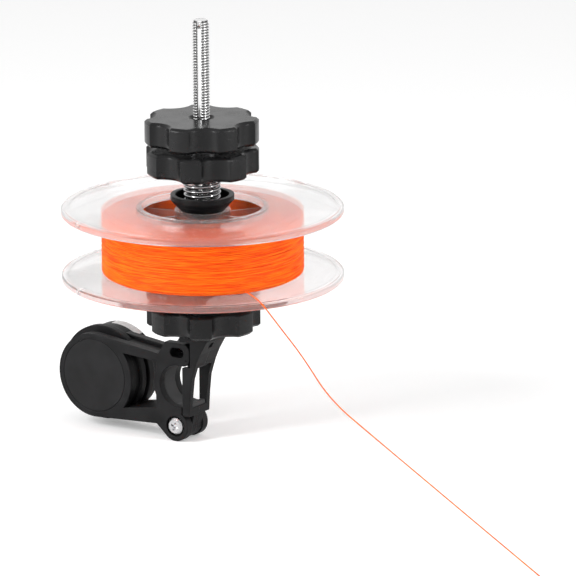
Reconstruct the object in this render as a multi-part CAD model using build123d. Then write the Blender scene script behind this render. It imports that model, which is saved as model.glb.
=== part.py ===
from build123d import *
import math
import os

os.makedirs("parts", exist_ok=True)

# clamp body: two side plates on a middle frame, drum at the left, rod mouth round the origin
half_width = 6.25
plate_thick = 3.0
frame_inset = 1.1
drum_x = -36.0
drum_z = -1.3
drum_radius = 15.2
ridge_radius = 17.0
ridge_front = -0.8
ridge_back = 1.6
barrel_radius = 16.0
barrel_back = 11.5
barrel_fit = 0.04
barrel_web = 1.4
disc_radius = 13.1
disc_thick = 0.8
disc_clear = 0.12
mouth_radius = 7.6
pad_thick = 1.2
pad_gap = 0.05
arm_top = 15.6
arm_left = -5.2
arm_right = 5.0
throat_x = 1.6
hinge_x = -1.3
hinge_z = -14.8
lug_radius = 5.4
window_left = 16.0
window_gap_left = -24.6
window_gap_right = -9.3
trough_x = -20.2
trough_z = 12.6
trough_long = 17.0
trough_high = 6.4
arm_knee_x = -8.4
arm_knee_z = 10.7
window_right = 10.3
slot_z = 12.2
slot_high = 3.5
slot_left = -3.2
slot_right = 2.6
label_thick = 0.2
label_high = 7.0

# hinge screw and small fasteners
screw_radius = 1.5
screw_fit = 0.06
head_radius = 3.0
head_high = 1.9
counter_radius = 3.7
counter_deep = 1.5
nut_flats = 5.5
nut_high = 1.6
pin_radius = 1.1
catch_spring_radius = 1.75
catch_wire = 0.45
catch_turns = 4

# swinging gate with the neck that carries the spindle
gate_left = 2.0
gate_gap = 0.3
knuckle_radius = 5.0
knuckle_half = 3.0
gate_window_half = 4.2
gate_window_z = 7.6
neck_left = 5.35
collar_low = 16.4
collar_top = 21.2
collar_left = 0.9
collar_right = 12.6
collar_half = 7.6

# spindle
axis_x = 7.0
rod_radius = 3.0
rod_fit = 0.05
rod_bottom = 16.9
rod_top = 132.0
rod_chamfer = 0.8
rod_head_radius = 4.5
rod_head_high = 2.0
socket_fit = 0.03
groove_wide = 1.5
groove_deep = 0.9
groove_turn = -70.0
key_clear = 0.15

# star knobs
knob_radius = 20.0
lobes = 7
scallop_radius = 7.0
scallop_centre = 24.0
knob_chamfer = 0.9
insert_flats = 9.0
insert_high = 3.4
lower_knob_low = 21.4
lower_knob_high = 8.6
seat_knob_low = 31.5
seat_knob_high = 7.5
tension_knob_low = 77.5
tension_knob_high = 8.8
lock_knob_low = 88.0
lock_knob_high = 9.0
lower_turn = 19.3
seat_turn = 26.3
tension_turn = 10.4
lock_turn = -2.0
top_sink_radius = 4.6

# cones, spring and washers
cone_rim_radius = 11.2
cone_rim_high = 1.8
cone_tip_radius = 5.7
cone_high = 8.0
cup_radius = 9.5
cup_deep = 3.5
upper_cone_top = 69.5
lower_cone_low = 35.65
seat_recess_radius = 11.5
washer_radius = 7.4
washer_thick = 1.2
thin_washer_radius = 6.5
washer_gap = 0.04
spring_radius = 6.0
spring_wire = 1.2
spring_turns = 4

# spool and line
spool_radius = 49.5
flange_thick = 2.2
rim_high = 0.3
rim_wide = 3.0
lower_flange_low = 39.3
upper_flange_low = 62.9
opening_radius = 21.4
core_wall = 1.9
core_radius = opening_radius + core_wall
hub_radius = 9.8
hub_bore = 8.0
hub_low = 41.1
hub_top = 64.05
rib_thick = 1.1
rib_inset = 0.5
rib_turn = 10
rib_count = 8
line_radius = 33.9
loop_radius = 0.8
loop_gap = 0.02
loop_count = 8
loop_pitch = 2.3
notch_turn = -118.0

# free end of the line
cord_radius = 0.225
cord_sides = 5
route = [
    (37.8, -18.5, 42.7),
    (43.6, -22.3, 42.6),
    (49.8, -26.6, 42.2),
    (55.3, -24.1, 34.2),
    (59.3, -15.3, 21.7),
    (62.0, -2.6, 3.6),
    (88.6, -14.8, -3.0),
    (128.3, -36.3, -10.3),
    (169.5, -59.1, -17.5),
    (198.9, -79.1, -19.9),
]


def save(shape, name):
    shape.label = name
    export_step(shape, "parts/" + name + ".step")


def along_y(sketch, y_low, y_high):
    # a flat outline drawn in x and z, carried from y_low to y_high
    plane = Plane(origin=(0, y_high, 0), x_dir=(1, 0, 0), z_dir=(0, -1, 0))
    return extrude(plane * sketch, y_high - y_low, dir=(0, -1, 0))


def round_y(x, z, radius, y_low, y_high):
    middle = (y_low + y_high) / 2
    return Pos(x, middle, z) * Rot(90, 0, 0) * Cylinder(radius, y_high - y_low)


def round_z(radius, low, high):
    return Pos(axis_x, 0, (low + high) / 2) * Cylinder(radius, high - low)


def span(x0, x1, y0, y1, z0, z1):
    middle = Pos((x0 + x1) / 2, (y0 + y1) / 2, (z0 + z1) / 2)
    return middle * Box(x1 - x0, y1 - y0, z1 - z0)


def disc(x, z, radius):
    return Pos(x, z) * Circle(radius)


def flat(*points):
    # points are listed clockwise as seen from the front
    return Polygon(*points[::-1], align=None)


def body_outline(inset):
    arm = flat(
        (drum_x + 1.0, drum_z + drum_radius - 0.05 - inset),
        (arm_knee_x, arm_knee_z - inset),
        (arm_left + inset / 2, arm_top - inset),
        (arm_right - inset, arm_top - inset),
        (arm_right - inset, mouth_radius),
        (throat_x, mouth_radius),
        (throat_x, -9.6),
        (hinge_x, hinge_z),
        (-5.3, -18.4 + inset),
        (-9.2, -14.9 + inset),
        (drum_x + 0.8, drum_z - drum_radius + 0.03 + inset),
    )
    outline = arm + disc(drum_x, drum_z, drum_radius - inset)
    outline = outline + disc(hinge_x, hinge_z, lug_radius - inset)
    corner = [v for v in outline.vertices() if v.X > arm_right - inset - 0.01]
    return fillet(corner, 2.6 - inset / 2)


def window_cut(left):
    block = flat(
        (window_gap_left, 8.7),
        (window_gap_right, 7.8),
        (window_gap_right, -9.0),
        (window_gap_left, -11.6),
    )
    block = block - disc(drum_x, drum_z, left)
    return block - disc(0, 0, window_right)


def mouth_cut(radius):
    opening = Pos(4, 0) * Rectangle(8, 2 * radius)
    return disc(0, 0, radius) + opening


def slot_middle():
    return Pos((slot_left + slot_right) / 2, slot_z)


def side_plate(y_low, y_high, left):
    slot = slot_middle() * SlotOverall(slot_right - slot_left, slot_high)
    outline = body_outline(0) - window_cut(left) - mouth_cut(mouth_radius) - slot
    plate = along_y(outline, y_low, y_high)
    return plate - round_y(hinge_x, hinge_z, screw_radius + screw_fit, y_low, y_high)


def front_side_plate():
    front = -half_width
    plate = side_plate(front, front + plate_thick, window_left)
    plate = plate - round_y(drum_x, drum_z, disc_radius + disc_clear, front, front + disc_thick)
    plate = plate - round_y(hinge_x, hinge_z, counter_radius, front, front + counter_deep)
    dimple = Pos(arm_right - 1.2, front - 0.4, 9.5) * Sphere(0.7)
    return plate - dimple


def rear_side_plate():
    back = half_width
    plate = side_plate(back - plate_thick, back, barrel_radius + barrel_web)
    plate = plate - round_y(drum_x, drum_z, barrel_radius + barrel_fit, back - plate_thick, back)
    pocket = along_y(
        Pos(hinge_x, hinge_z) * RegularPolygon(nut_flats / 2 + screw_fit, 6, major_radius=False),
        back - nut_high,
        back,
    )
    return plate - pocket


def middle_frame():
    inner = half_width - plate_thick
    outline = body_outline(frame_inset) - window_cut(window_left)
    outline = outline - mouth_cut(mouth_radius + pad_thick)
    outline = outline - disc(hinge_x, hinge_z, knuckle_radius + 0.7)
    outline = outline - Pos(3.2, -12) * Rectangle(6, 10)
    outline = outline - slot_middle() * Rectangle(slot_right - slot_left, slot_high)
    frame = along_y(outline, -inner, inner)
    frame = frame + round_y(drum_x, drum_z, ridge_radius, ridge_front, ridge_back)
    frame = frame - round_y(drum_x, drum_z, barrel_radius + barrel_fit, ridge_back, inner)
    trough = Pos(trough_x, (ridge_front - inner) / 2, trough_z) * Rot(0, 6.6, 0)
    cut = trough * Box(trough_long, inner + ridge_front, trough_high)
    for step in (-5.2, 0, 5.2):
        cut = cut - trough * Pos(step, 0, -1.4) * Box(0.9, 4, 3.6)
    return frame - cut


def drum_barrel():
    barrel = round_y(drum_x, drum_z, barrel_radius, ridge_back, barrel_back)
    rim = barrel.edges().filter_by(GeomType.CIRCLE).sort_by(Axis.Y)[-1]
    barrel = chamfer(rim, 0.7)
    recess = round_y(
        drum_x, drum_z, disc_radius + disc_clear, barrel_back - disc_thick, barrel_back
    )
    return barrel - recess


def inlay_disc(y_low):
    return round_y(drum_x, drum_z, disc_radius, y_low, y_low + disc_thick)


def band_label():
    outer = disc(drum_x, drum_z, barrel_radius + label_thick)
    ring = outer - disc(drum_x, drum_z, barrel_radius)
    wedge = flat((drum_x, drum_z), (drum_x - 2, 20), (drum_x + 15, 20))
    middle = (half_width + barrel_back) / 2
    return along_y(ring & wedge, middle - 1.9, middle + 1.6)


def grip_pad():
    inner = half_width - plate_thick - pad_gap
    ring = disc(0, 0, mouth_radius + pad_thick) - disc(0, 0, mouth_radius)
    ring = ring & Pos(-6, 0) * Rectangle(12, 2 * mouth_radius)
    return along_y(ring, -inner, inner)


def hinge_screw():
    head_low = -half_width + counter_deep - head_high
    head = round_y(hinge_x, hinge_z, head_radius, head_low, head_low + head_high)
    head = chamfer(head.edges().filter_by(GeomType.CIRCLE).sort_by(Axis.Y)[0], 0.6)
    shank = round_y(hinge_x, hinge_z, screw_radius, head_low + head_high, half_width)
    cross = Pos(hinge_x, head_low, hinge_z) * Rot(0, 20, 0)
    screw = head + shank
    screw = screw - cross * Box(3.0, 2.0, 0.7)
    return screw - cross * Box(0.7, 2.0, 3.0)


def hinge_nut():
    outline = RegularPolygon(nut_flats / 2, 6, major_radius=False) - Circle(screw_radius)
    return along_y(Pos(hinge_x, hinge_z) * outline, half_width - nut_high, half_width)


def catch_pin():
    length = slot_right - slot_left
    middle = (slot_left + slot_right) / 2
    return Pos(middle, 0, slot_z) * Rot(0, 90, 0) * Cylinder(pin_radius, length - 0.04)


def gate_profile():
    return flat(
        (gate_left, -10.6),
        (gate_left, 7.0),
        (neck_left, 7.3),
        (neck_left, collar_low),
        (collar_left, collar_low),
        (collar_left, collar_top),
        (collar_right, collar_top),
        (collar_right - 0.2, 17.6),
        (9.6, 12.8),
        (7.9, 9.0),
        (6.0, 3.0),
        (5.2, -4.0),
        (4.8, -10.6),
    )


def gate_block():
    wide = along_y(gate_profile(), -half_width, half_width)
    lug_room = lug_radius + gate_gap
    wide = wide - round_y(hinge_x, hinge_z, lug_room, -half_width, half_width)
    tongue = disc(hinge_x, hinge_z, knuckle_radius)
    tongue = tongue + flat((hinge_x, hinge_z), (gate_left, -9.6), (4.8, -9.6), (3.68, -14.6))
    block = wide + along_y(tongue, -knuckle_half, knuckle_half)
    collar_mid = (collar_left + collar_right) / 2
    collar = RectangleRounded(collar_right - collar_left, 2 * collar_half, 4.6)
    low = Plane(origin=(collar_mid, 0, collar_low + 1.8))
    block = block + extrude(low * collar, collar_top - collar_low - 1.8)
    window = span(-1, 9, -gate_window_half, gate_window_half, -gate_window_z, gate_window_z)
    block = block - window
    block = block - round_y(hinge_x, hinge_z, screw_radius + screw_fit, -4, 4)
    room = rod_head_radius + socket_fit
    block = block - round_z(room, rod_bottom, rod_bottom + rod_head_high)
    block = block - round_z(rod_radius + socket_fit, rod_bottom, collar_top)
    notch = Pos(11.6, -1.7, 15.4) * Rot(0, 38, 0) * Box(2.0, 2.2, 2.2)
    pocket = Pos(12.6, 5.2, 18.6) * Rot(0, 90, 0) * Cylinder(0.9, 1.6)
    return block - notch - pocket


def gate_half(sign):
    keep = Pos(0, sign * 10, 0) * Box(60, 20, 80)
    return gate_block() & keep


def gate_upper_pad():
    # soft wedge let into the top of the gate window
    wedge = flat((2.6, gate_window_z), (6.6, gate_window_z), (5.4, 6.3), (3.4, 6.3))
    return along_y(wedge, pad_gap - gate_window_half, gate_window_half - pad_gap)


def gate_lower_pad():
    wedge = flat((2.8, -6.3), (4.2, -6.3), (4.6, -gate_window_z), (2.4, -gate_window_z))
    return along_y(wedge, pad_gap - gate_window_half, gate_window_half - pad_gap)


def groove_piece(low, high, wide, deep):
    turned = Pos(axis_x, 0, (low + high) / 2) * Rot(0, 0, groove_turn)
    reach = 2.0
    return turned * Pos(rod_radius - deep + reach / 2, 0, 0) * Box(reach, wide, high - low)


def spindle():
    rod = round_z(rod_radius, rod_bottom, rod_top)
    rod = chamfer(rod.edges().filter_by(GeomType.CIRCLE).sort_by(Axis.Z)[-1], rod_chamfer)
    rod = rod + round_z(rod_head_radius, rod_bottom, rod_bottom + rod_head_high)
    return rod - groove_piece(collar_top + 0.2, rod_top + 1, groove_wide, groove_deep)


def key(low, high):
    tooth = groove_piece(low, high, groove_wide - 2 * key_clear, groove_deep - key_clear)
    return tooth & round_z(rod_radius + 0.6, low, high)


def star(low, high, turn):
    outline = Circle(knob_radius)
    for scallop in PolarLocations(scallop_centre, lobes):
        outline = outline - scallop * Circle(scallop_radius)
    knob = extrude(Plane(origin=(axis_x, 0, low)) * Rot(0, 0, turn) * outline, high)
    flats = knob.faces().filter_by(Axis.Z).edges()
    knob = chamfer(flats, knob_chamfer)
    return knob - round_z(rod_radius + rod_fit, low, low + high)


def hexagon(low, grow):
    flat = RegularPolygon(insert_flats / 2 + grow, 6, major_radius=False)
    return extrude(Plane(origin=(axis_x, 0, low)) * flat, insert_high)


def insert(low):
    return hexagon(low, 0) - round_z(rod_radius + rod_fit, low, low + insert_high)


def lower_lock_knob():
    knob = star(lower_knob_low, lower_knob_high, lower_turn)
    return knob - hexagon(lower_knob_low, 0)


def seat_knob():
    knob = star(seat_knob_low, seat_knob_high, seat_turn)
    knob = knob - hexagon(seat_knob_low, 0)
    return knob - round_z(seat_recess_radius, lower_cone_low - 0.03, seat_knob_low + seat_knob_high)


def tension_knob():
    knob = star(tension_knob_low, tension_knob_high, tension_turn)
    recess_top = tension_knob_low + washer_thick + washer_gap
    knob = knob - round_z(washer_radius + 0.2, tension_knob_low, recess_top)
    return knob - hexagon(recess_top, 0)


def lock_knob():
    knob = star(lock_knob_low, lock_knob_high, lock_turn)
    top = lock_knob_low + lock_knob_high
    sink = Cone(rod_radius + rod_fit, top_sink_radius, 1.6)
    knob = knob - Pos(axis_x, 0, top - 0.8) * sink
    return knob - hexagon(lock_knob_low, 0)


def cone_solid(low):
    # narrow end down, wide rim up
    taper = cone_high - cone_rim_high
    body = Pos(axis_x, 0, low + taper / 2) * Cone(cone_tip_radius, cone_rim_radius, taper)
    return body + round_z(cone_rim_radius, low + taper, low + cone_high)


def upper_cone():
    low = upper_cone_top - cone_high
    cone = cone_solid(low)
    cone = cone - round_z(cup_radius, upper_cone_top - cup_deep, upper_cone_top)
    cone = cone - round_z(rod_radius + rod_fit, low, upper_cone_top)
    return cone + key(low + 0.5, upper_cone_top - cup_deep)


def lower_cone():
    cone = mirror(cone_solid(-lower_cone_low - cone_high), about=Plane.XY)
    high = lower_cone_low + cone_high
    cone = cone - round_z(rod_radius + rod_fit, lower_cone_low, high)
    return cone + key(lower_cone_low, high)


def washer(low, thick, radius):
    ring = round_z(radius, low, low + thick)
    ring = ring - round_z(rod_radius + rod_fit, low, low + thick)
    return ring + key(low, low + thick)


def coil_wire(centre, radius, pitch, turns, start_turn):
    # two matched arcs for every quarter turn of the helix, with a straight lead at each end
    points = []
    for k in range(turns * 4 + 1):
        angle = math.radians(start_turn + 90 * k)
        spot = Vector(radius * math.cos(angle), radius * math.sin(angle), pitch * k / 4)
        way = Vector(-radius * math.sin(angle), radius * math.cos(angle), pitch / (2 * math.pi))
        points.append((centre + spot, way.normalized()))
    edges = []
    for (p0, t0), (p1, t1) in zip(points, points[1:]):
        v = p1 - p0
        a = 2 * (1 - t0.dot(t1))
        b = 2 * v.dot(t0 + t1)
        c = -v.dot(v)
        d = (-b + math.sqrt(b * b - 4 * a * c)) / (2 * a)
        q0 = p0 + t0 * d
        q1 = p1 - t1 * d
        edges.append(TangentArc(p0, (q0 + q1) * 0.5, tangent=t0))
        edges.append(TangentArc((q0 + q1) * 0.5, p1, tangent=q1 - q0))
    return edges, points


def coil(centre, radius, pitch, turns, section, sides, start_turn):
    edges, points = coil_wire(centre, radius, pitch, turns, start_turn)
    first, last = points[0], points[-1]
    lead = 2 * section
    edges.insert(0, Line(first[0] - first[1] * lead, first[0]))
    edges.append(Line(last[0], last[0] + last[1] * lead))
    begin = first[0] - first[1] * lead
    face = Plane(origin=begin, z_dir=first[1]) * RegularPolygon(section, sides)
    print("coil gap to itself", round(pitch - 2 * section, 3))
    return sweep(face, path=Wire(edges))


def pressure_spring():
    wire = spring_wire / 2
    low = upper_cone_top - cup_deep + wire + 0.05
    high = tension_knob_low - wire - 0.05
    pitch = (high - low) / spring_turns
    return coil(Vector(axis_x, 0, low), spring_radius, pitch, spring_turns, wire, 5, 200)


def catch_spring():
    length = slot_right - slot_left - 1.2
    pitch = length / catch_turns
    wound = coil(Vector(0, 0, 0), catch_spring_radius - catch_wire / 2, pitch, catch_turns, catch_wire / 2, 4, 90)
    return Pos(slot_left + 0.6, 0, slot_z) * Rot(0, 90, 0) * wound


def flange(low, opening):
    high = low + flange_thick
    plate = round_z(spool_radius, low, high)
    plate = chamfer(plate.edges().filter_by(GeomType.CIRCLE), 0.5)
    notch = Pos(axis_x, 0, (low + high) / 2) * Rot(0, 0, notch_turn)
    plate = plate - notch * Pos(spool_radius - 2.0, 0, 0) * Box(3.4, 0.7, 6)
    return plate - round_z(opening, low, high)


def ring_band(outer, inner, low, high):
    return round_z(outer, low, high) - round_z(inner, low, high)


def spool_upper_flange():
    plate = flange(upper_flange_low, opening_radius)
    top = upper_flange_low + flange_thick
    edge = spool_radius - 1.2
    plate = plate + ring_band(edge, edge - 1.6, top, top + rim_high)
    return plate + ring_band(core_radius, opening_radius, top, top + rim_high)


def spool_lower_flange():
    plate = flange(lower_flange_low, opening_radius)
    edge = spool_radius - 1.2
    low = lower_flange_low
    return plate + ring_band(edge, edge - 1.6, low + flange_thick, low + flange_thick + rim_high)


def spool_core():
    low = lower_flange_low + flange_thick
    return ring_band(core_radius, opening_radius, low, upper_flange_low)


def spool_hub():
    return ring_band(hub_radius, hub_bore, hub_low, hub_top)


def spool_ribs():
    # thin radial walls from the hub to the core
    low = lower_flange_low + flange_thick + rib_inset
    high = upper_flange_low - rib_inset
    room = ring_band(opening_radius, hub_radius, low, high)
    spokes = []
    for turn in PolarLocations(0, rib_count, start_angle=rib_turn):
        spoke = turn * Pos(opening_radius / 2, 0, 0) * Box(opening_radius, rib_thick, high - low)
        spokes.append(room & Pos(axis_x, 0, (low + high) / 2) * spoke)
    return Compound(children=spokes)


def line_core():
    low = lower_flange_low + flange_thick + 0.05
    return ring_band(line_radius, core_radius + 0.02, low, upper_flange_low - 0.05)


def line_outer_layer():
    run = loop_pitch * loop_count
    middle = (lower_flange_low + flange_thick + upper_flange_low) / 2
    start = Vector(axis_x, 0, middle - run / 2)
    radius = line_radius + loop_radius + loop_gap
    return coil(start, radius, loop_pitch, loop_count, loop_radius, 4, 40)


def free_line():
    points = [Vector(spot) for spot in route]
    radii = []
    for p, q, r in zip(points, points[1:], points[2:]):
        turn = (q - p).get_angle(r - q)
        shorter = min((q - p).length, (r - q).length)
        radii.append(0.45 * shorter / math.tan(math.radians(turn / 2)))
    print("cord radii", [round(v, 1) for v in radii])
    wire = FilletPolyline(*points, radius=radii)
    print("cord length", round(wire.length, 1))
    start = Plane(origin=wire @ 0, z_dir=wire % 0)
    return sweep(start * RegularPolygon(cord_radius, cord_sides), path=wire)


save(front_side_plate(), "front_side_plate")
save(rear_side_plate(), "rear_side_plate")
save(middle_frame(), "middle_frame")
save(drum_barrel(), "drum_barrel")
save(inlay_disc(-half_width), "front_inlay_disc")
save(inlay_disc(barrel_back - disc_thick), "rear_inlay_disc")
save(band_label(), "band_label")
save(grip_pad(), "grip_pad")
save(hinge_screw(), "hinge_screw")
save(hinge_nut(), "hinge_nut")
save(catch_pin(), "catch_pin")
save(catch_spring(), "catch_spring")
save(gate_half(-1), "gate_front_half")
save(gate_half(1), "gate_rear_half")
save(gate_upper_pad(), "gate_upper_pad")
save(gate_lower_pad(), "gate_lower_pad")
save(spindle(), "spindle")
save(lower_lock_knob(), "lower_lock_knob")
save(insert(lower_knob_low), "lower_lock_insert")
gap_height = seat_knob_low - lower_knob_low - lower_knob_high
save(
    washer(lower_knob_low + lower_knob_high + washer_gap, gap_height - 2 * washer_gap, thin_washer_radius),
    "lower_washer",
)
save(seat_knob(), "seat_knob")
save(insert(seat_knob_low), "seat_insert")
save(lower_cone(), "lower_cone")
save(spool_lower_flange(), "spool_lower_flange")
save(spool_upper_flange(), "spool_upper_flange")
save(spool_core(), "spool_core")
save(spool_hub(), "spool_hub")
save(spool_ribs(), "spool_ribs")
save(line_core(), "line_core")
save(line_outer_layer(), "line_outer_layer")
save(free_line(), "free_line")
save(upper_cone(), "upper_cone")
save(pressure_spring(), "pressure_spring")
save(washer(tension_knob_low, washer_thick, washer_radius), "tension_washer")
save(tension_knob(), "tension_knob")
save(insert(tension_knob_low + washer_thick + washer_gap), "tension_insert")
lock_gap = lock_knob_low - tension_knob_low - tension_knob_high
save(
    washer(tension_knob_low + tension_knob_high + washer_gap, lock_gap - 2 * washer_gap, thin_washer_radius),
    "lock_washer",
)
save(lock_knob(), "lock_knob")
save(insert(lock_knob_low), "lock_insert")
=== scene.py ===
import math

import bmesh
import bpy
from mathutils import Matrix, Vector


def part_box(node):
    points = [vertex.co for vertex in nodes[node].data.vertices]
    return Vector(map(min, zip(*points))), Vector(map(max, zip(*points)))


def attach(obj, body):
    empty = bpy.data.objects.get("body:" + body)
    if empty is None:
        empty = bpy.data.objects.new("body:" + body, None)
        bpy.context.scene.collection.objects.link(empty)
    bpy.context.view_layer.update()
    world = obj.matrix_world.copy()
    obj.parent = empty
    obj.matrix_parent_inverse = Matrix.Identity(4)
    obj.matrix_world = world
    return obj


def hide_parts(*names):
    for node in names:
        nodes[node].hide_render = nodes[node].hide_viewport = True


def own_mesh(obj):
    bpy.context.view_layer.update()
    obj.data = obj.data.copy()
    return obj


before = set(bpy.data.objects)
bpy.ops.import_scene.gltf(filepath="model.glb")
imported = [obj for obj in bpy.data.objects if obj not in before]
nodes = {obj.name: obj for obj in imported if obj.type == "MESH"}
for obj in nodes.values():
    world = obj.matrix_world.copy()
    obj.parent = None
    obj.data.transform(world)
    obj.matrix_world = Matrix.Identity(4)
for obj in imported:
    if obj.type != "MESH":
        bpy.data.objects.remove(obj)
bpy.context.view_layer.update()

# The clamp body is moulded in black nylon: two side plates on a middle frame, with a
# round drum at the back. The moulding has a fine spark-eroded grain and a soft sheen,
# so its broad faces read as very dark grey. The gate halves are the same moulding.


def plain_material(name, colour, rough, metal=0.0):
    material = bpy.data.materials.new(name)
    material.use_nodes = True
    shader = material.node_tree.nodes["Principled BSDF"]
    shader.inputs["Base Color"].default_value = (*colour, 1)
    shader.inputs["Roughness"].default_value = rough
    shader.inputs["Metallic"].default_value = metal
    return material, material.node_tree, shader


def link(tree, a, a_socket, b, b_socket):
    tree.links.new(a.outputs[a_socket], b.inputs[b_socket])


def object_noise(tree, scale, detail, stretch=(1, 1, 1)):
    coords = tree.nodes.new("ShaderNodeTexCoord")
    mapping = tree.nodes.new("ShaderNodeMapping")
    mapping.inputs["Scale"].default_value = stretch
    noise = tree.nodes.new("ShaderNodeTexNoise")
    noise.inputs["Scale"].default_value = scale
    noise.inputs["Detail"].default_value = detail
    link(tree, coords, "Object", mapping, "Vector")
    link(tree, mapping, "Vector", noise, "Vector")
    return noise


def ramp(tree, source, socket, stops):
    node = tree.nodes.new("ShaderNodeValToRGB")
    elements = node.color_ramp.elements
    elements[0].position, elements[0].color = stops[0][0], (*stops[0][1], 1)
    elements[1].position, elements[1].color = stops[-1][0], (*stops[-1][1], 1)
    for place, colour in stops[1:-1]:
        element = elements.new(place)
        element.color = (*colour, 1)
    link(tree, source, socket, node, "Fac")
    return node


def grain(tree, shader, noise, strength, distance):
    bump = tree.nodes.new("ShaderNodeBump")
    bump.inputs["Strength"].default_value = strength
    bump.inputs["Distance"].default_value = distance
    link(tree, noise, "Fac", bump, "Height")
    link(tree, bump, "Normal", shader, "Normal")
    return bump


def moulded(name, dark, light, rough_low, rough_high):
    material, tree, shader = plain_material(name, light, rough_high)
    cloud = object_noise(tree, 140, 5)
    tint = ramp(tree, cloud, "Fac", [(0.35, dark), (0.65, light)])
    link(tree, tint, "Color", shader, "Base Color")
    wear = ramp(tree, cloud, "Fac", [(0.3, (rough_low,) * 3), (0.7, (rough_high,) * 3)])
    link(tree, wear, "Color", shader, "Roughness")
    fine = object_noise(tree, 2600, 3)
    bump = grain(tree, shader, fine, 0.28, 0.00006)
    edge = tree.nodes.new("ShaderNodeBevel")
    edge.inputs["Radius"].default_value = 0.0006
    link(tree, edge, "Normal", bump, "Normal")
    shader.inputs["Specular IOR Level"].default_value = 0.13
    return material


def dress(material, *names):
    for name in names:
        piece = nodes[name]
        piece.data.materials.clear()
        piece.data.materials.append(material)


body_dark = (0.006, 0.006, 0.0064)
body_light = (0.011, 0.011, 0.0117)
body_plastic = moulded("body_plastic", body_dark, body_light, 0.38, 0.5)
dress(body_plastic, "front_side_plate", "rear_side_plate", "middle_frame", "drum_barrel")
dress(body_plastic, "gate_front_half", "gate_rear_half")

# The round inlay discs close the two ends of the drum. They are moulded in the same
# nylon with a duller face, and sit flush in their recesses with a hairline gap round them.

disc_plastic = moulded("disc_plastic", (0.01, 0.01, 0.0104), (0.015, 0.015, 0.0157), 0.5, 0.6)
dress(disc_plastic, "front_inlay_disc", "rear_inlay_disc")

# The small blank label on top of the drum is pale paper under a clear film, stuck to the
# drum's band where it faces up. It is left bare.

label_film, label_tree, label_shader = plain_material("label_film", (0.62, 0.62, 0.61), 0.32)
label_cloud = object_noise(label_tree, 500, 4)
label_tint = ramp(label_tree, label_cloud, "Fac", [
    (0.3, (0.5, 0.5, 0.5)), (0.7, (0.7, 0.7, 0.69))])
link(label_tree, label_tint, "Color", label_shader, "Base Color")
dress(label_film, "band_label")

# Soft rubber pads line the mouth and the gate's window, where the rod is gripped.

rubber, rubber_tree, rubber_shader = plain_material("grip_rubber", (0.03, 0.03, 0.031), 0.75)
grain(rubber_tree, rubber_shader, object_noise(rubber_tree, 1500, 4), 0.4, 0.0001)
dress(rubber, "grip_pad", "gate_upper_pad", "gate_lower_pad")

# Screws, nuts, washers and springs are steel with a bright zinc finish, turned or drawn,
# so the light breaks up along faint lines.

steel, steel_tree, steel_shader = plain_material("zinc_steel", (0.5, 0.5, 0.51), 0.24, 1.0)
steel_noise = object_noise(steel_tree, 900, 3)
steel_wear = ramp(steel_tree, steel_noise, "Fac", [(0.3, (0.16,) * 3), (0.7, (0.34,) * 3)])
link(steel_tree, steel_wear, "Color", steel_shader, "Roughness")
dress(steel, "hinge_screw", "hinge_nut", "catch_pin", "catch_spring")
dress(steel, "tension_washer", "lock_washer", "lower_washer")
dress(steel, "lower_lock_insert", "seat_insert", "tension_insert", "lock_insert")

# The spindle is an M6 steel rod, rolled with a 1 mm thread and milled with one groove along
# its whole length for the keyed washers. Its top end is rounded over the last thread.

rod_steel, rod_tree, rod_shader = plain_material("rod_steel", (0.7, 0.7, 0.71), 0.2, 1.0)
rod_noise = object_noise(rod_tree, 700, 4, (1, 1, 0.15))
rod_wear = ramp(rod_tree, rod_noise, "Fac", [(0.3, (0.12,) * 3), (0.7, (0.3,) * 3)])
link(rod_tree, rod_wear, "Color", rod_shader, "Roughness")

rod_low, rod_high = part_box("spindle")
axis_x = (rod_low[0] + rod_high[0]) / 2
rod_axis = Vector((axis_x, 0, 0))
crest = 0.00299
root = 0.00246
thread_pitch = 0.001
thread_start = 0.0175
thread_turns = 113
thread_steps = 48
head_radius = 0.0045
head_height = 0.002
tip_length = 0.0015
tip_slope = 0.35
tip_round = 0.0004
crest_flat = 0.00012
groove_angle = math.radians(-70)
groove_half = 0.00078
groove_floor = 0.0021
groove_start = 0.0214



def reach_ramp(tree, full_reach, stops):
    # grey levels by the distance from the spindle's axis, where 1 is full_reach
    coords = tree.nodes.new("ShaderNodeTexCoord")
    centre = tree.nodes.new("ShaderNodeMapping")
    centre.inputs["Location"].default_value = (-axis_x / full_reach, 0, 0)
    centre.inputs["Scale"].default_value = (1 / full_reach, 1 / full_reach, 0)
    reach = tree.nodes.new("ShaderNodeVectorMath")
    reach.operation = "LENGTH"
    levels = ramp(tree, reach, "Value", [(place, (level,) * 3) for place, level in stops])
    link(tree, coords, "Object", centre, "Vector")
    link(tree, centre, "Vector", reach, "Vector")
    return levels


# painted shade: the thread's roots are darkened for the shade between the threads, and the crests
# and the groove's floor keep the bright steel colour
painted_root_shade = reach_ramp(rod_tree, crest, [(0.755, 0.8), (0.8, 0.05), (0.9, 0.2), (0.985, 0.8)])
link(rod_tree, painted_root_shade, "Color", rod_shader, "Base Color")


def new_piece(name, shape, material, body):
    mesh = bpy.data.meshes.new(name)
    shape.to_mesh(mesh)
    shape.free()
    mesh.materials.append(material)
    for face in mesh.polygons:
        face.use_smooth = True
    piece = bpy.data.objects.new(name, mesh)
    bpy.context.collection.objects.link(piece)
    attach(piece, body)
    return piece


def ring_profile(shape, points, closed=False):
    # a chain in the plane through the spindle, from points given as (radius, height)
    verts = [shape.verts.new((axis_x + radius, 0, height)) for radius, height in points]
    pairs = list(zip(verts, verts[1:]))
    if closed:
        pairs.append((verts[-1], verts[0]))
    return verts + [shape.edges.new(pair) for pair in pairs]


def turn_profile(shape, chain, steps):
    bmesh.ops.spin(shape, geom=chain, cent=rod_axis, axis=(0, 0, 1), angle=2 * math.pi,
                   steps=steps, use_merge=True)


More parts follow.
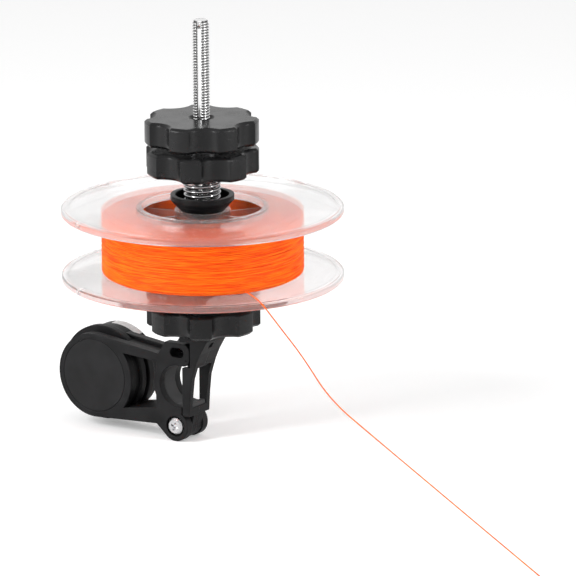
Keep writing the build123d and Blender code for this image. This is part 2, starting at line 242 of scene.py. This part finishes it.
def wind(shape, chain, turns, steps, rise):
    # one turn of a helix, then copies of it stacked up the axis, joined and closed
    bmesh.ops.spin(shape, geom=chain, cent=rod_axis, axis=(0, 0, 1), angle=2 * math.pi,
                   dvec=(0, 0, rise / steps), steps=steps)
    one_turn = shape.verts[:] + shape.edges[:] + shape.faces[:]
    for turn in range(1, turns):
        copy = bmesh.ops.duplicate(shape, geom=one_turn)["geom"]
        raised = [part for part in copy if isinstance(part, bmesh.types.BMVert)]
        bmesh.ops.translate(shape, vec=(0, 0, rise * turn), verts=raised)
    bmesh.ops.remove_doubles(shape, verts=shape.verts, dist=0.00001)
    open_edges = [edge for edge in shape.edges if edge.is_boundary]
    bmesh.ops.holes_fill(shape, edges=open_edges, sides=0)


def close_mesh(shape):
    bmesh.ops.remove_doubles(shape, verts=shape.verts, dist=0.000001)
    bmesh.ops.recalc_face_normals(shape, faces=shape.faces)


tip_height = rod_high[2]
thread = bmesh.new()
wind(thread, ring_profile(thread, [
    (root, thread_start),
    (crest - crest_flat, thread_start + thread_pitch * 0.4),
    (crest, thread_start + thread_pitch * 0.5),
    (crest - crest_flat, thread_start + thread_pitch * 0.6),
    (root, thread_start + thread_pitch),
]), thread_turns, thread_steps, thread_pitch)
turn_profile(thread, ring_profile(thread, [
    (0, tip_height - 2 * tip_length),
    (root, tip_height - 2 * tip_length),
    (root, tip_height - tip_round),
    (root - tip_round * 0.75, tip_height - tip_round * 0.2),
    (0, tip_height),
]), thread_steps)
turn_profile(thread, ring_profile(thread, [
    (0, rod_low[2]),
    (head_radius, rod_low[2]),
    (head_radius, rod_low[2] + head_height),
    (0, rod_low[2] + head_height),
]), thread_steps)
groove_way = Vector((math.cos(groove_angle), math.sin(groove_angle), 0))
across = Vector((-groove_way.y, groove_way.x, 0))
for vert in thread.verts:
    arm = Vector((vert.co.x - axis_x, vert.co.y, 0))
    below_tip = tip_height - vert.co.z
    if below_tip < tip_length and arm.length > root:
        vert.co -= arm.normalized() * max(0, arm.length - root - tip_slope * below_tip)
        vert.co.z = min(vert.co.z, tip_height)
        arm = Vector((vert.co.x - axis_x, vert.co.y, 0))
    forward = arm.dot(groove_way)
    if vert.co.z > groove_start and abs(arm.dot(across)) < groove_half and forward > 0:
        vert.co -= groove_way * max(0, forward - groove_floor)
close_mesh(thread)
threaded_rod = new_piece("threaded_rod", thread, rod_steel, "gate")
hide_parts("spindle")

# The pressure spring is wound from 1.2 mm spring steel and stands in the upper cone's cup,
# between the cup's floor and the tension washer.

spring_steel, spring_tree, spring_shader = plain_material(
    "spring_steel", (0.4, 0.4, 0.41), 0.18, 1.0)
spring_noise = object_noise(spring_tree, 1200, 3)
spring_wear = ramp(spring_tree, spring_noise, "Fac", [(0.3, (0.1,) * 3), (0.7, (0.26,) * 3)])
link(spring_tree, spring_wear, "Color", spring_shader, "Roughness")

spring_low, spring_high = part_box("pressure_spring")
spring_wire = 0.00058
spring_radius = 0.006
spring_turns = 6
spring_steps = 48
spring_rise = (spring_high[2] - spring_low[2] - 2 * spring_wire) / spring_turns
spring = bmesh.new()


def wire_section(shape, radius, height, wire, sides):
    # the round end of a wire, upright in the plane through the spindle
    made = bmesh.ops.create_circle(shape, segments=sides, radius=wire)["verts"]
    place = Matrix.Translation((axis_x + radius, 0, height))
    bmesh.ops.transform(shape, matrix=place @ Matrix.Rotation(math.pi / 2, 4, "X"), verts=made)
    return made + list({edge for vert in made for edge in vert.link_edges})


wind(spring, wire_section(spring, spring_radius, spring_low[2] + spring_wire, spring_wire, 12),
     spring_turns, spring_steps, spring_rise)
close_mesh(spring)
wound_spring = new_piece("wound_spring", spring, spring_steel, "upper_cone")
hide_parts("pressure_spring")
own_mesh(wound_spring)

# The star knobs and the cones are glass-filled nylon with a moulded sheen, a little
# brighter than the body on their edges.

knob_plastic = moulded("knob_plastic", (0.004, 0.004, 0.0043), (0.007, 0.007, 0.0074), 0.2, 0.3)
knob_shader = knob_plastic.node_tree.nodes["Principled BSDF"]
knob_shader.inputs["Specular IOR Level"].default_value = 0.24
dress(knob_plastic, "lower_lock_knob", "seat_knob", "tension_knob", "lock_knob")
cone_plastic = moulded("cone_plastic", (0.004, 0.004, 0.0045), (0.008, 0.008, 0.0085), 0.3, 0.42)
dress(cone_plastic, "upper_cone", "lower_cone")

# The spool is moulded in clear plastic. The two flanges are clear across their broad faces,
# with faint flow marks. At the rim and round the opening they are made more opaque and white,
# a painted highlight for the light those edges catch. The core, hub and ribs between them are
# clear throughout.

flange_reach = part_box("spool_lower_flange")[1][0] - axis_x


def clear_plastic(name, alpha):
    material, tree, shader = plain_material(name, (0.965, 0.967, 0.97), 0.12)
    shader.inputs["Transmission Weight"].default_value = 0.94
    shader.inputs["IOR"].default_value = 1.45
    shader.inputs["Alpha"].default_value = alpha
    flow = object_noise(tree, 60, 4)
    frost = ramp(tree, flow, "Fac", [(0.3, (0.06,) * 3), (0.75, (0.22,) * 3)])
    link(tree, frost, "Color", shader, "Roughness")
    return material, tree, shader


clear_flange, flange_tree, flange_shader = clear_plastic("clear_flange", 0.3)
# clear across the broad faces, with a painted highlight as more opaque white at the rim and round
# the opening
opacity_and_rim_highlight = reach_ramp(flange_tree, flange_reach, [
    (0.43, 0.85), (0.45, 0.85), (0.47, 0.6), (0.95, 0.6), (0.965, 0.75), (0.985, 0.95)])
link(flange_tree, opacity_and_rim_highlight, "Color", flange_shader, "Alpha")
dress(clear_flange, "spool_lower_flange", "spool_upper_flange")
dress(clear_plastic("clear_core", 0.2)[0], "spool_core")
dress(clear_plastic("clear_rib", 0.55)[0], "spool_hub", "spool_ribs")

# The line is a bright orange braid of many fine fibres, wound in close level turns. The core
# of the winding is the turns beneath, and the outer turns lie over it a little unevenly.


def braid_material(name, bright, deep, scale):
    material, tree, shader = plain_material(name, bright, 0.62)
    shader.inputs["Specular IOR Level"].default_value = 0.18
    fibres = object_noise(tree, scale, 4, (1, 1, 24))
    tint = ramp(tree, fibres, "Fac", [(0.38, deep), (0.58, bright)])
    link(tree, tint, "Color", shader, "Base Color")
    grain(tree, shader, fibres, 0.5, 0.0001)
    return material


braid = braid_material("orange_braid", (1.0, 0.165, 0.003), (0.84, 0.07, 0.001), 110)
inner_braid = braid_material("inner_braid", (1.0, 0.13, 0.003), (0.85, 0.08, 0.002), 150)
dress(inner_braid, "line_core")

turns_low, turns_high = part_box("line_outer_layer")
line_radius = 0.00033
line_turns = 32
line_steps = 128
line_sides = 6
wound_radius = turns_high[0] - axis_x - line_radius
line_rise = (turns_high[2] - turns_low[2] - 2 * line_radius) / line_turns
backing = wound_radius - 0.00012
backing_wall = 0.0012
sway_height = 0.00013
sway_depth = 0.00009
turns = bmesh.new()
wind(turns, wire_section(turns, wound_radius, turns_low[2] + line_radius, line_radius, line_sides),
     line_turns, line_steps, line_rise)
for vert in turns.verts:
    arm = Vector((vert.co.x - axis_x, vert.co.y, 0))
    turned = math.atan2(arm.y, arm.x)
    up = (vert.co.z - turns_low[2]) / (turns_high[2] - turns_low[2])
    layer = round(up * line_turns - turned / (2 * math.pi))
    sway = math.sin(turned * 3 + layer * 2.4) + 0.6 * math.sin(turned * 7 + layer * 4.1)
    vert.co.z += sway_height * sway * math.sin(math.pi * min(1, max(0, up)))
    vert.co -= arm.normalized() * sway_depth * (1 + math.sin(layer * 1.9 + turned * 2))
turn_profile(turns, ring_profile(turns, [
    (backing - backing_wall, turns_low[2]),
    (backing, turns_low[2]),
    (backing, turns_high[2]),
    (backing - backing_wall, turns_high[2]),
], closed=True), line_steps)
close_mesh(turns)
wound_line = new_piece("wound_line", turns, braid, "spool")
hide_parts("line_outer_layer")

# The free end of the line leaves the winding, crosses the lower rim and runs off to the
# right. It is the same braid, thin and limp, and it ends cut.

free_route = [
    (0.0378, -0.0185, 0.0427),
    (0.0436, -0.0223, 0.0426),
    (0.0498, -0.0266, 0.0422),
    (0.0553, -0.0241, 0.0342),
    (0.0593, -0.0153, 0.0217),
    (0.0620, -0.0026, 0.0036),
    (0.0886, -0.0148, -0.0030),
    (0.1283, -0.0363, -0.0103),
    (0.1695, -0.0591, -0.0175),
    (0.1989, -0.0791, -0.0199),
]
free_curve = bpy.data.curves.new("free_braid", "CURVE")
free_curve.dimensions = "3D"
free_curve.resolution_u = 16
free_curve.bevel_depth = 0.000225
free_curve.bevel_resolution = 3
free_curve.use_fill_caps = True
run = free_curve.splines.new("NURBS")
run.points.add(len(free_route) - 1)
for point, place in zip(run.points, free_route):
    point.co = (*place, 1)
run.order_u = 3
run.use_endpoint_u = True
free_curve.materials.append(braid)
free_braid = bpy.data.objects.new("free_braid", free_curve)
bpy.context.collection.objects.link(free_braid)
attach(free_braid, "seat_carrier")
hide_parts("free_line")

# The floor is a plain white table top that keeps the part's shadow, in a soft white room
# with two tall strip lamps. It is lifted to white only for the rays that the camera sees.

floor_level = -0.0202
floor_lift = 0.2
floor_size = 3.0
table = bpy.data.meshes.new("table_top")
shape = bmesh.new()
bmesh.ops.create_grid(shape, x_segments=1, y_segments=1, size=floor_size)
bmesh.ops.translate(shape, vec=(0, 0, floor_level), verts=shape.verts)
shape.to_mesh(table)
shape.free()
table_top = bpy.data.objects.new("table_top", table)
bpy.context.collection.objects.link(table_top)
table_paint, table_tree, table_shader = plain_material("table_paint", (0.9, 0.9, 0.9), 0.6)
table.materials.append(table_paint)
table_path = table_tree.nodes.new("ShaderNodeLightPath")
table_seen = table_tree.nodes.new("ShaderNodeMath")
table_seen.operation = "ADD"
table_glow = table_tree.nodes.new("ShaderNodeMath")
table_glow.operation = "MULTIPLY"
table_glow.inputs[1].default_value = floor_lift
link(table_tree, table_path, "Is Camera Ray", table_seen, 0)
link(table_tree, table_path, "Is Transmission Ray", table_seen, 1)
link(table_tree, table_seen, "Value", table_glow, 0)
link(table_tree, table_glow, "Value", table_shader, "Emission Strength")
table_shader.inputs["Emission Color"].default_value = (1, 1, 1, 1)

world = bpy.data.worlds.new("studio")
bpy.context.scene.world = world
world.use_nodes = True
sky = world.node_tree
background = sky.nodes["Background"]
background.inputs["Color"].default_value = (1, 1, 1, 1)
background.inputs["Strength"].default_value = 0.55
seen = sky.nodes.new("ShaderNodeBackground")
seen.inputs["Color"].default_value = (1, 1, 1, 1)
path = sky.nodes.new("ShaderNodeLightPath")
choose = sky.nodes.new("ShaderNodeMixShader")
through_ray = sky.nodes.new("ShaderNodeMath")
through_ray.operation = "MAXIMUM"
link(sky, path, "Is Camera Ray", through_ray, 0)
link(sky, path, "Is Transmission Ray", through_ray, 1)
white_ray = sky.nodes.new("ShaderNodeMath")
white_ray.operation = "MAXIMUM"
link(sky, through_ray, "Value", white_ray, 0)
link(sky, path, "Is Glossy Ray", white_ray, 1)
link(sky, white_ray, "Value", choose, "Fac")
link(sky, background, "Background", choose, 1)
link(sky, seen, "Background", choose, 2)
link(sky, choose, "Shader", sky.nodes["World Output"], "Surface")

view_azimuth = math.radians(34.08)
view_height = math.radians(14.863)
view_roll = math.radians(-0.372)
view_distance = 2.5
view_pixels = 576
focal_pixels = 7120.0
sensor_width = 36
view_right = Vector((math.cos(view_azimuth), math.sin(view_azimuth), 0))
view_back = Vector((
    math.sin(view_azimuth) * math.cos(view_height),
    -math.cos(view_azimuth) * math.cos(view_height),
    math.sin(view_height),
))
view_up = view_back.cross(view_right)


def soft_lamp(name, place, watts, width, height):
    light = bpy.data.lights.new(name, "AREA")
    light.shape = "RECTANGLE"
    light.energy = watts
    light.size = width
    light.size_y = height
    lamp = bpy.data.objects.new(name, light)
    bpy.context.collection.objects.link(lamp)
    lamp.location = place
    lamp.rotation_euler = (-Vector(place)).to_track_quat("-Z", "Y").to_euler()
    return lamp


left_place = view_right * -0.8 + view_back * 0.5 + Vector((0, 0, 0.42))
right_place = view_right * 0.9 + view_back * 0.5 + Vector((0, 0, 0.36))
soft_lamp("left_lamp", left_place, 11, 0.2, 0.8)
soft_lamp("right_lamp", right_place, 7, 0.15, 0.8)

camera_data = bpy.data.cameras.new("camera")
camera_data.lens = focal_pixels / view_pixels * sensor_width
camera_data.clip_end = 20
camera = bpy.data.objects.new("camera", camera_data)
bpy.context.collection.objects.link(camera)
aim = view_right * 0.035523 + Vector((0, 0, 0.034181))
turned_right = view_right * math.cos(view_roll) + view_up * math.sin(view_roll)
turned_up = view_up * math.cos(view_roll) - view_right * math.sin(view_roll)
axes = Matrix((turned_right, turned_up, view_back)).transposed()
camera.matrix_world = Matrix.Translation(aim + view_back * view_distance) @ axes.to_4x4()
bpy.context.scene.camera = camera

bpy.context.scene.view_settings.view_transform = "Standard"
